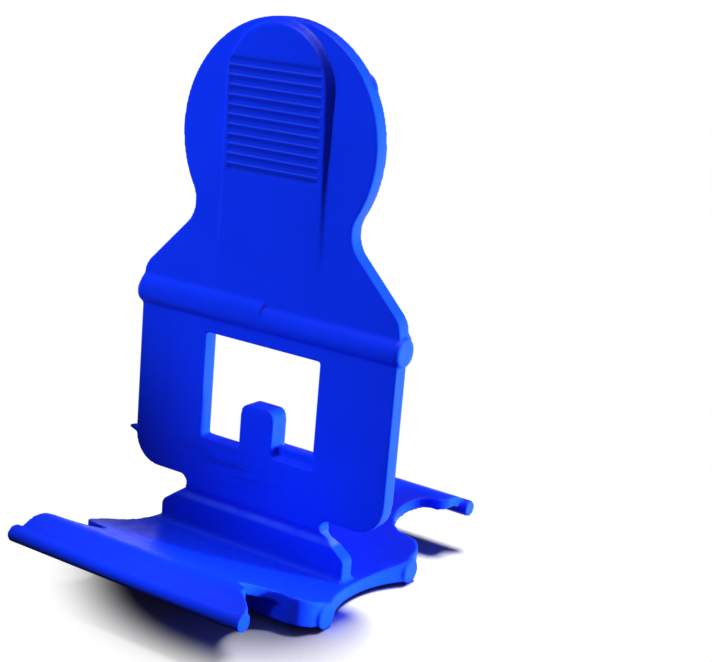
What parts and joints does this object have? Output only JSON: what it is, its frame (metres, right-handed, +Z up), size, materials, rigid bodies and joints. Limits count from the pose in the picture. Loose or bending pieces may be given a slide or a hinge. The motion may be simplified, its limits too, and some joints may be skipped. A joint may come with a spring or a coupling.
{
  "type": "tile levelling clip",
  "caption": "Moulded plastic clip that levels and spaces floor tiles: an upright plate with a wedge window and round thumb head on a base with sprung wings, snapped off at a thin break line.",
  "frame": {"origin": "on the floor under the middle of the clip's bounding box, in the plane half way through the plate's thickness", "axes": "+Z up through the head, +X along the tile joint to the right of the picture's near face, +Y from the near face to the far face"},
  "size_m": [0.0316, 0.0388, 0.0525],
  "materials": {
    "blue_plastic": "semi-gloss injection-moulded polypropylene, coloured through"
  },
  "bodies": {
    "root": {"levelling_clip": "blue_plastic"}
  },
  "joints": []
}
